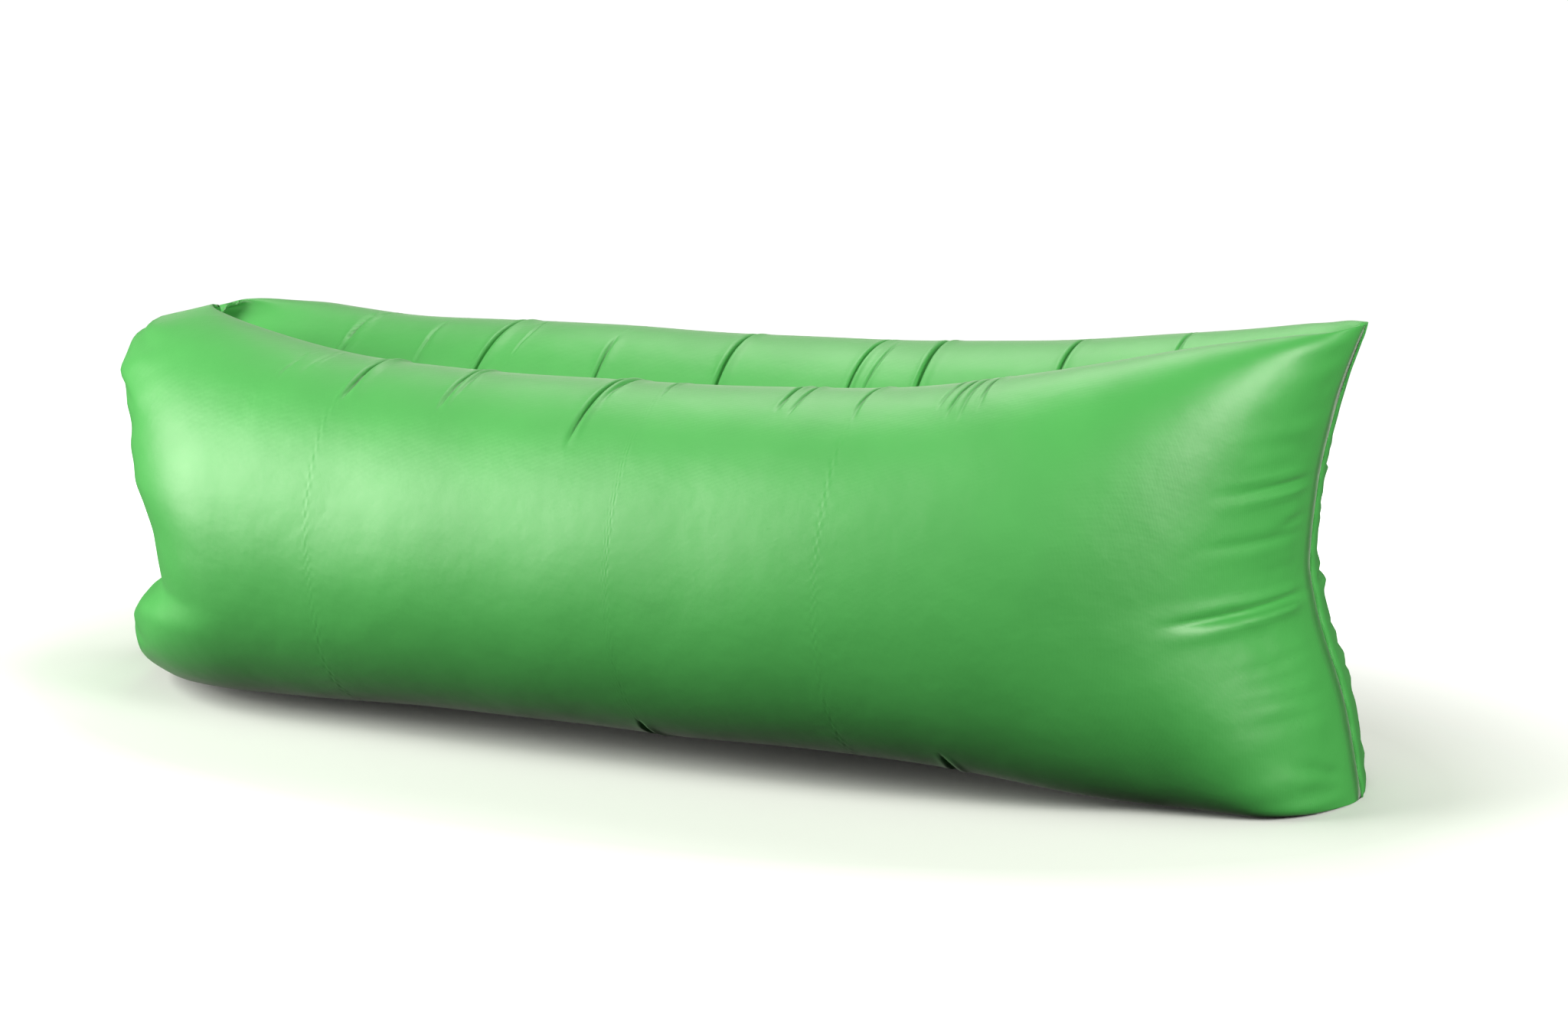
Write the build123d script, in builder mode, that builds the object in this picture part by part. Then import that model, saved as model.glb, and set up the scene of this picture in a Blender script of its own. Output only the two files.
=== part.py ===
"""Inflatable two-tube air lounger: two air-filled pillows on edge, joined side by side, with a rolled and
buckled mouth at one end. Millimetres. +X points to the closed foot end, +Z is up, and the origin is on the
floor under the middle of the lounger's overall box."""

import os
from build123d import *

os.makedirs("parts", exist_ok=True)

# Overall size
FOOT_X = 940.0  # the foot end's two corners
FRONT_MOUTH_X = -830.0  # where the front tube's end dome stops
BACK_MOUTH_X = -882.0  # the back tube runs a little further
TUBE_HALF_WIDTH = 209.0  # of the round part of a tube, across
TUBE_CENTRE_Y = 179.0  # the round parts press together and flatten at Y = 0

# Walls
FLATTENED_GAP = 0.8  # from Y = 0 to each tube's flattened inner face
SHELL_WALL = 1.5
LINER_INSET = 3.0  # outside of the film liner, in from the outside of the shell
LINER_WALL = 1.0
FLOOR_Z = 0.0

# The foot end's seam bows inward between its corners
FOOT_BOW = 60.0
FOOT_HEIGHT = 606.0
FOOT_END_TRIM = 0.2  # how far inside the corners the bow's arc passes
BINDING_WIDTH = 24.0
BINDING_THICKNESS = 1.6
BINDING_SHORT = 2.0  # of the seam's whole height
BOW_RADIUS = ((FOOT_HEIGHT / 2) ** 2 + FOOT_BOW**2) / (2 * FOOT_BOW)
BOW_CENTRE_X = FOOT_X - FOOT_END_TRIM - BINDING_THICKNESS - FOOT_BOW + BOW_RADIUS

# Centre seam tape
TAPE_X = (-680.0, 800.0)
TAPE_Z = (138.0, 163.0)
TAPE_THICKNESS = 1.0

# Rolled mouth: an open ring in a plane across X, behind the end domes
RING_X = -923.0
RING_Y = (16.0, 126.0)  # centre lines of the neck side and of the buckle side
RING_Z = 340.0
RING_STRAIGHT = 190.0  # height of its straight sides
ROLL_RADIUS = 17.0
ROLL_GAP = 112.0  # between the roll's two ends, bridged by the buckle
CORE_WIDTH = 27.0
CORE_THICKNESS = 5.0
STRIP_WIDTH = 24.0
STRIP_THICKNESS = 1.0
STRIP_OFFSET = 1.2  # of each strip's middle from the roll's centre line
STRIP_SHORT = 26.0  # how far a strip stops before each end of the roll

# Buckle for 25 mm webbing, along Z. Heights are from BUCKLE_Z, at the catch side of the socket's mouth
BUCKLE_Z = 348.0
CUT_PAST = 1.0  # how far a cut runs past the face that it opens
SOCKET_CORNER = 3.5
PLUG_CORNER = 3.0
OUTER_CHAMFER = 1.2
SOCKET_HALF_WIDTH = 17.0
SOCKET_HALF_DEPTH = 5.5
SOCKET_BOTTOM = -38.0
SOCKET_MOUTH = 4.0
CAVITY_HALF_WIDTH = 14.0
CAVITY_HALF_DEPTH = 3.3
CAVITY_BOTTOM = -26.0
WINDOW_TOP = -11.0
WINDOW_BOTTOM = -24.0
PLUG_HALF_WIDTH = 16.0
PLUG_HALF_DEPTH = 4.5
PLUG_BOTTOM = 4.4
PLUG_TOP = 22.0
WEB_SLOT_HALF_WIDTH = 13.2
WEB_SLOT_HEIGHT = 7.2
WEB_BAR_HEIGHT = 3.0
BAR_CUT_MARGIN = 0.1  # the bar's thinning runs this far above and below it
GUIDE_HALF_WIDTH = 3.0
GUIDE_HALF_DEPTH = 2.6
GUIDE_BOTTOM = -20.0
GUIDE_ROOT = 0.2  # how far the guide runs up into the plug's body
PRONG_HALF_DEPTH = 2.9
PRONG_IN = 9.5
PRONG_OUT = 12.5
PRONG_PIVOT = 2.55  # middle of the prong's rounded root
PRONG_BOTTOM = -22.0
PRONG_TIP_BEVEL = 0.5
BARB_OUT = 16.2
BARB_TOP = -11.4
BARB_SHOULDER = -13.7
BARB_LOW = -17.5

# Webbing tabs: each leaves the roll as two layers, opens round the buckle's bar and comes back
WEB_WIDTH = 25.0
WEB_THICKNESS = 1.4
WEB_BAR_HALF_DEPTH = 1.5
WEB_LOOP_ROOM = 0.4  # between a bar and the loop of webbing around it
WEB_LAYER_GAP = 0.1
WEB_OPEN = 4.0  # how far past the bar the loop stays open, so that the plug can move
WEB_CLOSED = 11.0  # how far past the bar its two layers meet
WEB_IN_ROLL = 22.0
TACK_ROOM = 3.0  # from where the layers meet to the first bar tack
TACK_PITCH = 5.0
TACK_SIZE = (18.0, 0.5, 2.2)

# Neck between the end domes and the roll: X, middle Y, half width, half height
NECK_STATIONS = [
    (-812.0, -5.0, 3.0, 112.0),
    (-835.0, -12.0, 9.0, 140.0),
    (-862.0, -2.0, 12.0, 142.0),
    (-888.0, 10.0, 12.0, 122.0),
    (-905.7, 16.0, 9.0, 92.0),
]
NECK_WALL = 1.5

# Each tube: X, half width as a share of the full one, top height, bottom height. A bottom below the floor is
# cut flat there, which gives the two patches that each tube stands on.
FRONT_STATIONS = [
    (FRONT_MOUTH_X, 0.34, 440.0, 120.0),
    (-806.0, 0.66, 522.0, 58.0),
    (-770.0, 0.86, 568.0, 18.0),
    (-700.0, 0.97, 566.0, -2.0),
    (-600.0, 1.00, 537.0, -4.0),
    (-420.0, 1.00, 508.0, 20.0),
    (-180.0, 1.00, 497.0, 33.0),
    (90.0, 1.00, 502.0, 34.0),
    (350.0, 0.99, 515.0, 33.0),
    (560.0, 0.95, 540.0, 20.0),
    (710.0, 0.84, 570.0, -3.0),
    (810.0, 0.64, 590.0, -4.0),
    (880.0, 0.36, 602.0, 0.5),
    (FOOT_X - BINDING_THICKNESS, 0.09, FOOT_HEIGHT, 2.0),
]
BACK_TOP_LIFT = {-420.0: 14.0, -180.0: 18.0, 90.0: 15.0, 350.0: 12.0, 560.0: -4.0, 710.0: -8.0}
MOUTH_STRETCH_X = -700.0  # the back tube's extra length is all on the mouth side of this
DOME_CENTRE_SHARE = 0.86  # an end dome's centre from Y = 0, as a share of its half width
DOME_CLEFT = 70.0  # how far the domes' tips draw apart


def back_stations():
    """The back tube's stations: the same as the front's, with a longer mouth end and a fuller middle."""
    stations = []
    stretch = (MOUTH_STRETCH_X - BACK_MOUTH_X) / (MOUTH_STRETCH_X - FRONT_MOUTH_X)
    for x, share, top, bottom in FRONT_STATIONS:
        if x < MOUTH_STRETCH_X:
            place = MOUTH_STRETCH_X - (MOUTH_STRETCH_X - x) * stretch
        else:
            place = x
        stations.append((place, share, top + BACK_TOP_LIFT.get(x, 0.0), bottom))
    return stations


def cleft(x, share):
    """How far a tube's centre stands from Y = 0: end domes draw apart, and leave a cleft for the neck."""
    pressed = TUBE_CENTRE_Y * share
    if x > MOUTH_STRETCH_X:
        return pressed
    apart = (1.0 - share) * DOME_CLEFT
    return TUBE_HALF_WIDTH * share * DOME_CENTRE_SHARE + apart


def pillow(stations, side, inset):
    """One tube's closed form, drawn in by inset on every side. side is -1 at the front and 1 at the back."""
    inner_face = Plane.XZ.offset(-FLATTENED_GAP - inset)
    with BuildPart() as form:
        for number, (x, share, top, bottom) in enumerate(stations):
            place = x
            if number == 0:
                place = x + inset
            if number == len(stations) - 1:
                place = x - inset
            with BuildSketch(Plane.YZ.offset(place)):
                with Locations((cleft(x, share), (top + bottom) / 2)):
                    Ellipse(TUBE_HALF_WIDTH * share - inset, (top - bottom) / 2 - inset)
        loft()
        split(bisect_by=inner_face, keep=Keep.BOTTOM)
        split(bisect_by=Plane.XY.offset(FLOOR_Z + inset), keep=Keep.TOP)
        with Locations((BOW_CENTRE_X, 0, FOOT_HEIGHT / 2)):
            Cylinder(BOW_RADIUS + inset, 4 * TUBE_HALF_WIDTH, rotation=(90, 0, 0), mode=Mode.SUBTRACT)
        if side < 0:
            mirror(about=Plane.XZ, mode=Mode.REPLACE)
    return form.part


def write(piece, name):
    """Labels a finished piece and writes its STEP file."""
    piece.part.label = name
    export_step(piece.part, f"parts/{name}.step")


# Tube shells and their air liners, hollow closed skins
for side, stations, place in ((-1, FRONT_STATIONS, "front"), (1, back_stations(), "back")):
    with BuildPart() as tube_shell:
        add(pillow(stations, side, 0.0))
        add(pillow(stations, side, SHELL_WALL), mode=Mode.SUBTRACT)
    write(tube_shell, f"{place}_tube_shell")
    with BuildPart() as air_liner:
        add(pillow(stations, side, LINER_INSET))
        add(pillow(stations, side, LINER_INSET + LINER_WALL), mode=Mode.SUBTRACT)
    write(air_liner, f"{place}_air_liner")

# Webbing tape that joins the tubes, upright between their flattened faces
with BuildPart() as centre_seam_tape:
    with Locations((sum(TAPE_X) / 2, 0, sum(TAPE_Z) / 2)):
        Box(TAPE_X[1] - TAPE_X[0], TAPE_THICKNESS, TAPE_Z[1] - TAPE_Z[0])
write(centre_seam_tape, "centre_seam_tape")

# Binding along the bowed foot end: a band just inside the arc that cuts both tubes
with BuildPart() as foot_end_binding:
    with BuildSketch(Plane.XZ) as band:
        with Locations((BOW_CENTRE_X, FOOT_HEIGHT / 2)):
            Circle(BOW_RADIUS - FOOT_END_TRIM)
            Circle(BOW_RADIUS - FOOT_END_TRIM - BINDING_THICKNESS, mode=Mode.SUBTRACT)
        with Locations((FOOT_X, FOOT_HEIGHT / 2)):
            Rectangle(4 * FOOT_BOW, FOOT_HEIGHT - BINDING_SHORT, mode=Mode.INTERSECT)
    extrude(amount=BINDING_WIDTH / 2, both=True)
write(foot_end_binding, "foot_end_binding")


def neck(inset):
    """The neck's closed form, drawn in by inset."""
    with BuildPart() as form:
        for number, (x, y, half_width, half_height) in enumerate(NECK_STATIONS):
            place = x
            if number == 0:
                place = x - inset
            if number == len(NECK_STATIONS) - 1:
                place = x + inset
            with BuildSketch(Plane.YZ.offset(place)):
                with Locations((y, RING_Z)):
                    Ellipse(half_width - inset, half_height - inset)
        loft()
    return form.part


with BuildPart() as mouth_collar:
    add(neck(0.0))
    add(neck(NECK_WALL), mode=Mode.SUBTRACT)
write(mouth_collar, "mouth_collar")


def ring_sweep(short, profile):
    """Sweeps profile along the open ring, stopping short of the roll's two ends."""
    neck_y, buckle_y = RING_Y
    arc_radius = (buckle_y - neck_y) / 2
    middle_y = (buckle_y + neck_y) / 2
    high = RING_Z + RING_STRAIGHT / 2
    low = RING_Z - RING_STRAIGHT / 2
    upper_end = RING_Z + ROLL_GAP / 2 + short
    lower_end = RING_Z - ROLL_GAP / 2 - short
    with BuildPart() as swept:
        with BuildLine(Plane.YZ.offset(RING_X)):
            Line((buckle_y, upper_end), (buckle_y, high))
            CenterArc((middle_y, high), arc_radius, 0, 180)
            Line((neck_y, high), (neck_y, low))
            CenterArc((middle_y, low), arc_radius, 180, 180)
            Line((buckle_y, low), (buckle_y, lower_end))
        with BuildSketch(Plane.XY.offset(upper_end)):
            with Locations((RING_X, buckle_y)):
                add(profile)
        sweep()
    return swept


with BuildSketch() as roll_profile:
    Circle(ROLL_RADIUS)
    Rectangle(CORE_WIDTH, CORE_THICKNESS, mode=Mode.SUBTRACT)
write(ring_sweep(0.0, roll_profile.sketch), "rolled_mouth")

for offset_y, name in ((-STRIP_OFFSET, "lip_strip_inner"), (STRIP_OFFSET, "lip_strip_outer")):
    with BuildSketch() as strip_profile:
        with Locations((0, offset_y)):
            Rectangle(STRIP_WIDTH, STRIP_THICKNESS)
    write(ring_sweep(STRIP_SHORT, strip_profile.sketch), name)


def buckle_block(half_width, half_depth, low, high, mode=Mode.ADD, x=0.0, y=0.0):
    """A block in the buckle's own place, from height low to height high."""
    with Locations((RING_X + x, RING_Y[1] + y, BUCKLE_Z + (low + high) / 2)):
        Box(2 * half_width, 2 * half_depth, high - low, mode=mode)


def buckle_body(half_width, half_depth, low, high, corner):
    """A block with rounded upright edges in the buckle's own place."""
    with BuildSketch(Plane.XY.offset(BUCKLE_Z + low)) as outline:
        with Locations((RING_X, RING_Y[1])):
            RectangleRounded(2 * half_width, 2 * half_depth, corner)
    extrude(outline.sketch, amount=high - low)


def webbing_slot(low, bar_low, half_depth):
    """Cuts a slot from height low, and thins the bar that stands beside it, from height bar_low."""
    bar_cut = (half_depth + CUT_PAST - WEB_BAR_HALF_DEPTH) / 2
    buckle_block(WEB_SLOT_HALF_WIDTH, half_depth + CUT_PAST, low, low + WEB_SLOT_HEIGHT, Mode.SUBTRACT)
    for way in (-1, 1):
        cut_y = way * (WEB_BAR_HALF_DEPTH + bar_cut)
        cut_low = bar_low - BAR_CUT_MARGIN
        cut_high = bar_low + WEB_BAR_HEIGHT + BAR_CUT_MARGIN
        buckle_block(WEB_SLOT_HALF_WIDTH, bar_cut, cut_low, cut_high, Mode.SUBTRACT, y=cut_y)


with BuildPart() as buckle_socket:
    buckle_body(SOCKET_HALF_WIDTH, SOCKET_HALF_DEPTH, SOCKET_BOTTOM, SOCKET_MOUTH, SOCKET_CORNER)
    chamfer(buckle_socket.faces().sort_by(Axis.Z)[0].edges(), OUTER_CHAMFER)
    buckle_block(CAVITY_HALF_WIDTH, CAVITY_HALF_DEPTH, CAVITY_BOTTOM, SOCKET_MOUTH + CUT_PAST, Mode.SUBTRACT)
    buckle_block(SOCKET_HALF_WIDTH + CUT_PAST, CAVITY_HALF_DEPTH, WINDOW_BOTTOM, WINDOW_TOP, Mode.SUBTRACT)
    webbing_slot(SOCKET_BOTTOM + WEB_BAR_HEIGHT, SOCKET_BOTTOM, SOCKET_HALF_DEPTH)
write(buckle_socket, "buckle_socket")

with BuildPart() as buckle_plug:
    buckle_body(PLUG_HALF_WIDTH, PLUG_HALF_DEPTH, PLUG_BOTTOM, PLUG_TOP, PLUG_CORNER)
    chamfer(buckle_plug.faces().sort_by(Axis.Z)[-1].edges(), OUTER_CHAMFER)
    buckle_block(GUIDE_HALF_WIDTH, GUIDE_HALF_DEPTH, GUIDE_BOTTOM, PLUG_BOTTOM + GUIDE_ROOT)
    webbing_slot(PLUG_TOP - WEB_BAR_HEIGHT - WEB_SLOT_HEIGHT, PLUG_TOP - WEB_BAR_HEIGHT, PLUG_HALF_DEPTH)
write(buckle_plug, "buckle_plug")

PRONG_OUTLINE = [
    (PRONG_IN, PRONG_PIVOT),
    (PRONG_OUT, PRONG_PIVOT),
    (PRONG_OUT, BARB_TOP + CAVITY_HALF_WIDTH - PRONG_OUT),
    (BARB_OUT, BARB_SHOULDER),
    (BARB_OUT, BARB_LOW),
    (PRONG_OUT - PRONG_TIP_BEVEL, PRONG_BOTTOM),
    (PRONG_IN, PRONG_BOTTOM),
]
for way, name in ((1, "buckle_prong_inner"), (-1, "buckle_prong_outer")):
    with BuildPart() as prong:
        with BuildSketch(Plane.XZ.offset(-RING_Y[1])):
            with BuildLine():
                Polyline([(RING_X + way * x, BUCKLE_Z + height) for x, height in PRONG_OUTLINE], close=True)
            make_face()
            with Locations((RING_X + way * (PRONG_IN + PRONG_OUT) / 2, BUCKLE_Z + PRONG_PIVOT)):
                Circle((PRONG_OUT - PRONG_IN) / 2)
        extrude(amount=PRONG_HALF_DEPTH, both=True)
    write(prong, name)


def webbing_tab(bar_edge, way, roll_end):
    """A strap doubled round a bar whose far edge is at bar_edge, and running into the roll's end, up or down
    as way is 1 or -1."""
    loop_half = WEB_BAR_HALF_DEPTH + WEB_LOOP_ROOM + WEB_THICKNESS / 2
    layer_half = (WEB_LAYER_GAP + WEB_THICKNESS) / 2
    y = RING_Y[1]
    turn_z = bar_edge - way * WEB_BAR_HEIGHT
    open_z = bar_edge + way * WEB_OPEN
    closed_z = bar_edge + way * WEB_CLOSED
    inside_z = roll_end + way * WEB_IN_ROLL
    with BuildPart() as tab:
        with BuildSketch(Plane.YZ.offset(RING_X)):
            with BuildLine():
                Line((y + layer_half, inside_z), (y + layer_half, closed_z))
                Line((y + layer_half, closed_z), (y + loop_half, open_z))
                Line((y + loop_half, open_z), (y + loop_half, turn_z))
                CenterArc((y, turn_z), loop_half, 0, -way * 180)
                Line((y - loop_half, turn_z), (y - loop_half, open_z))
                Line((y - loop_half, open_z), (y - layer_half, closed_z))
                Line((y - layer_half, closed_z), (y - layer_half, inside_z))
            trace(line_width=WEB_THICKNESS)
        extrude(amount=WEB_WIDTH / 2, both=True)
    return tab


UPPER_BAR_EDGE = BUCKLE_Z + PLUG_TOP
LOWER_BAR_EDGE = BUCKLE_Z + SOCKET_BOTTOM
write(webbing_tab(UPPER_BAR_EDGE, 1, RING_Z + ROLL_GAP / 2), "upper_buckle_webbing")
write(webbing_tab(LOWER_BAR_EDGE, -1, RING_Z - ROLL_GAP / 2), "lower_buckle_webbing")

# Two rows of stitching through each doubled strap, on both of its faces
with BuildPart() as bar_tack_stitching:
    tack_y = WEB_THICKNESS + (WEB_LAYER_GAP + TACK_SIZE[1]) / 2
    for bar_edge, way in ((UPPER_BAR_EDGE, 1), (LOWER_BAR_EDGE, -1)):
        for row in range(2):
            tack_z = bar_edge + way * (WEB_CLOSED + TACK_ROOM + row * TACK_PITCH)
            for face in (-1, 1):
                with Locations((RING_X, RING_Y[1] + face * tack_y, tack_z)):
                    Box(*TACK_SIZE)
write(bar_tack_stitching, "bar_tack_stitching")
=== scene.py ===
"""The looks of an inflatable two-tube air lounger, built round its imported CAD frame.
Metres, +Z up, +X to the foot."""

import math

import bmesh
import bpy
import numpy as np
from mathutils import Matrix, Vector


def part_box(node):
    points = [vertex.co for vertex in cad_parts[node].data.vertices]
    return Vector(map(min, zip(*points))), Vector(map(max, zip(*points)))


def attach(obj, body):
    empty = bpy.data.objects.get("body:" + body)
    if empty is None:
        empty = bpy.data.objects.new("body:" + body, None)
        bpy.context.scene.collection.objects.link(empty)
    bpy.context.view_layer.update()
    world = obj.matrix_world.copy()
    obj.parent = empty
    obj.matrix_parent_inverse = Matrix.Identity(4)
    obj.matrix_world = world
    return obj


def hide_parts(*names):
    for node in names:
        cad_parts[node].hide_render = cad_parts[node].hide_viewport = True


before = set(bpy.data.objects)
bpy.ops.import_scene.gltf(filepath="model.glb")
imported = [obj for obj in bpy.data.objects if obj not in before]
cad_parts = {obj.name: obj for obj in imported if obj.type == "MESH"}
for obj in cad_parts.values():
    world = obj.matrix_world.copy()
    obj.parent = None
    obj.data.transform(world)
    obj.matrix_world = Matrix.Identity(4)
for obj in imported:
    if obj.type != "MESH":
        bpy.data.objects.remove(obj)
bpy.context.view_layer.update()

# Camera: the image is 2048 x 1351
CAMERA_PLACE = (1.765, -3.560, 1.097)
CAMERA_AZIMUTH = 24.57
CAMERA_PITCH = 11.57
CAMERA_LENS = 67.13
SENSOR_WIDTH = 36.0

# Tubes. Stations are shares of the way from the mouth's rim to the foot seam
STATIONS = (0.0, 0.12, 0.30, 0.50, 0.70, 0.88, 1.0)
FRONT_TOP = (0.566, 0.524, 0.497, 0.501, 0.519, 0.580, 0.607)
BACK_TOP = (0.546, 0.516, 0.516, 0.515, 0.532, 0.568, 0.607)
BOTTOM = (0.014, 0.017, 0.029, 0.032, 0.034, 0.003, 0.000)
FOOT_X = 0.939
FRONT_MOUTH_X = -0.775
BACK_MOUTH_X = -0.850
HALF_WIDTH = 0.2095
CENTRE_SHARE = 0.85  # the tubes press together: each centre stands off by this share of its half width
FLATTENED_GAP = 0.0008
PRESS_SOFTNESS = 0.008
FOOT_SPREAD = 0.80  # how much the weight squares the underside near the foot
FOOT_CLOSE_FROM = 0.45
FOOT_CLOSE_POWER = 3.48
MOUTH_DOME = 0.14
MOUTH_DOME_POWER = 2.2
MOUTH_DOME_LEAST = 0.35
MOUTH_HEIGHT = (0.93, 0.07)  # share of a tube's height at the rim, and what the dome adds to it
FOOT_SPREAD_SHARES = (0.88, 0.985)  # where along the tube the squaring sets in, and where it is full
FOOT_BOW_FROM = 0.6
FOOT_BOW_LENGTH = 0.4
RIM_SHIFT_UNTIL = 0.35
# How far the foot seam and the mouth's rim stand inward, from bottom (-1) to top (1) of a section
FOOT_BOW_HEIGHTS = (-1.0, -0.6, -0.2, 0.0, 0.3, 0.65, 1.0)
FOOT_BOW = (-0.008, 0.018, 0.059, 0.070, 0.064, 0.044, 0.010)
RIM_HEIGHTS = (-1.0, -0.8, -0.55, -0.35, -0.1, 0.2, 0.5, 0.75, 0.93, 1.0)
RIM_SHIFT = (-0.070, -0.058, -0.021, 0.041, 0.036, 0.001, -0.020, -0.050, -0.030, 0.040)
NECK_Z = 0.340


def gentle_curve(xs, ys, x):
    """A smooth curve through points that never swings past them (a monotone cubic)."""
    xs, ys, x = np.asarray(xs, float), np.asarray(ys, float), np.asarray(x, float)
    step = np.diff(xs)
    rise = np.diff(ys) / step
    slope = np.zeros(len(xs))
    slope[0], slope[-1] = rise[0], rise[-1]
    for k in range(1, len(xs) - 1):
        if rise[k - 1] * rise[k] > 0:
            before, after = 2 * step[k] + step[k - 1], step[k] + 2 * step[k - 1]
            slope[k] = (before + after) / (before / rise[k - 1] + after / rise[k])
    k = np.clip(np.searchsorted(xs, x) - 1, 0, len(step) - 1)
    t = np.clip((x - xs[k]) / step[k], 0, 1)
    return (
        ys[k] * (1 + 2 * t) * (1 - t) ** 2
        + slope[k] * step[k] * t * (1 - t) ** 2
        + ys[k + 1] * t * t * (3 - 2 * t)
        + slope[k + 1] * step[k] * t * t * (t - 1)
    )


def swinging_curve(xs, ys, x):
    """A natural cubic spline through a few points."""
    xs, ys, x = np.asarray(xs, float), np.asarray(ys, float), np.asarray(x, float)
    step = np.diff(xs)
    count = len(xs)
    system, right = np.eye(count), np.zeros(count)
    for k in range(1, count - 1):
        system[k, k - 1 : k + 2] = step[k - 1], 2 * (step[k - 1] + step[k]), step[k]
        right[k] = 6 * ((ys[k + 1] - ys[k]) / step[k] - (ys[k] - ys[k - 1]) / step[k - 1])
    bend = np.linalg.solve(system, right)
    k = np.clip(np.searchsorted(xs, x) - 1, 0, count - 2)
    t, length = x - xs[k], step[k]
    slope = (ys[k + 1] - ys[k]) / length - length * (2 * bend[k] + bend[k + 1]) / 6
    return ys[k] + t * slope + t * t * bend[k] / 2 + t**3 * (bend[k + 1] - bend[k]) / (6 * length)


def smooth_step(low, high, value):
    t = np.clip((value - low) / (high - low), 0, 1)
    return t * t * (3 - 2 * t)


def tube_rings(shares, angles, side):
    """Points of a tube's surface at rest, before creases: one ring of angles for each share.
    Both tubes are worked out on the front's side, and side, -1 in front, picks the profile. An angle of 0 is the top,
    a quarter turn is the outer side, half a turn the bottom, and past it the inner side."""
    top = swinging_curve(STATIONS, FRONT_TOP if side < 0 else BACK_TOP, shares)
    bottom = swinging_curve(STATIONS, BOTTOM, shares)
    mouth_x = FRONT_MOUTH_X if side < 0 else BACK_MOUTH_X
    towards_foot = np.clip((shares - FOOT_CLOSE_FROM) / (1 - FOOT_CLOSE_FROM), 0, 1)
    foot = np.sqrt(np.clip(1 - towards_foot**FOOT_CLOSE_POWER, 0, 1))
    towards_mouth = np.clip((MOUTH_DOME - shares) / MOUTH_DOME, 0, 1)
    mouth = np.sqrt(np.clip(1 - towards_mouth**MOUTH_DOME_POWER, 0, 1))
    half_width = HALF_WIDTH * foot * (MOUTH_DOME_LEAST + (1 - MOUTH_DOME_LEAST) * mouth)
    half_height = (top - bottom) / 2 * (MOUTH_HEIGHT[0] + MOUTH_HEIGHT[1] * mouth)
    level, out = np.cos(angles), np.sin(angles)
    spread = FOOT_SPREAD * smooth_step(*FOOT_SPREAD_SHARES, shares)[:, None] * (level < 0)[None, :]
    fuller = np.sign(out)[None, :] * np.abs(out)[None, :] ** (1 - spread)
    y = -half_width[:, None] * (CENTRE_SHARE + fuller)
    z = ((top + bottom) / 2)[:, None] + half_height[:, None] * level[None, :]
    x = (mouth_x + (FOOT_X - mouth_x) * shares)[:, None]
    near_foot = np.clip((shares - FOOT_BOW_FROM) / FOOT_BOW_LENGTH, 0, 1)[:, None] ** 2
    near_mouth = np.clip((RIM_SHIFT_UNTIL - shares) / RIM_SHIFT_UNTIL, 0, 1)[:, None] ** 2
    x = x - gentle_curve(FOOT_BOW_HEIGHTS, FOOT_BOW, level)[None, :] * near_foot
    x = x + gentle_curve(RIM_HEIGHTS, RIM_SHIFT, level)[None, :] * near_mouth
    softness = np.maximum(PRESS_SOFTNESS * foot, 1e-6)[:, None]
    return np.stack([x, pressed(y, softness), z], -1)


def pressed(y, softness):
    """Front-tube depths, kept softly on their own side of the plane where the tubes meet."""
    over = y + FLATTENED_GAP
    return -FLATTENED_GAP - 0.5 * (np.sqrt(over**2 + softness**2) - over)


# Folds across the top of a tube, where it sags and its cloth is too long for it. Each is x, the angles in
# degrees where it starts and ends (below zero is the inner side), its depth and its width in millimetres
BACK_FOLDS = [
    (-0.610, -70, 4, 7.0, 4.0),
    (-0.480, -62, -6, 3.0, 4.0),
    (-0.372, -75, 12, 9.0, 4.5),
    (-0.325, -30, 6, 1.6, 3.0),
    (-0.182, -70, -14, 5.0, 4.0),
    (0.010, -75, 8, 8.5, 4.5),
    (0.212, -68, 6, 6.0, 3.5),
    (0.236, -60, -4, 2.5, 3.0),
    (0.306, -75, 8, 8.0, 4.5),
    (0.506, -66, 4, 6.0, 4.0),
    (0.664, -50, 2, 3.0, 4.0),
]
FRONT_FOLDS = [
    (-0.492, 4, 26, 1.4, 3.0),
    (-0.462, -6, 20, 1.3, 3.0),
    (-0.384, -40, 32, 8.0, 4.5),
    (-0.236, -45, 32, 5.0, 4.0),
    (-0.222, -10, 24, 1.6, 3.0),
    (-0.022, -50, 42, 8.5, 4.5),
    (-0.004, -24, 20, 3.5, 3.5),
    (0.064, -20, 14, 2.0, 3.0),
    (0.240, -35, 22, 4.5, 3.5),
    (0.262, -24, 24, 3.0, 3.5),
    (0.352, -22, 26, 3.0, 3.5),
    (0.462, -26, 22, 2.2, 3.0),
    (0.478, -18, 28, 3.0, 3.5),
    (0.494, -22, 30, 2.2, 3.0),
    (0.512, -16, 24, 2.4, 3.0),
]

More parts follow.
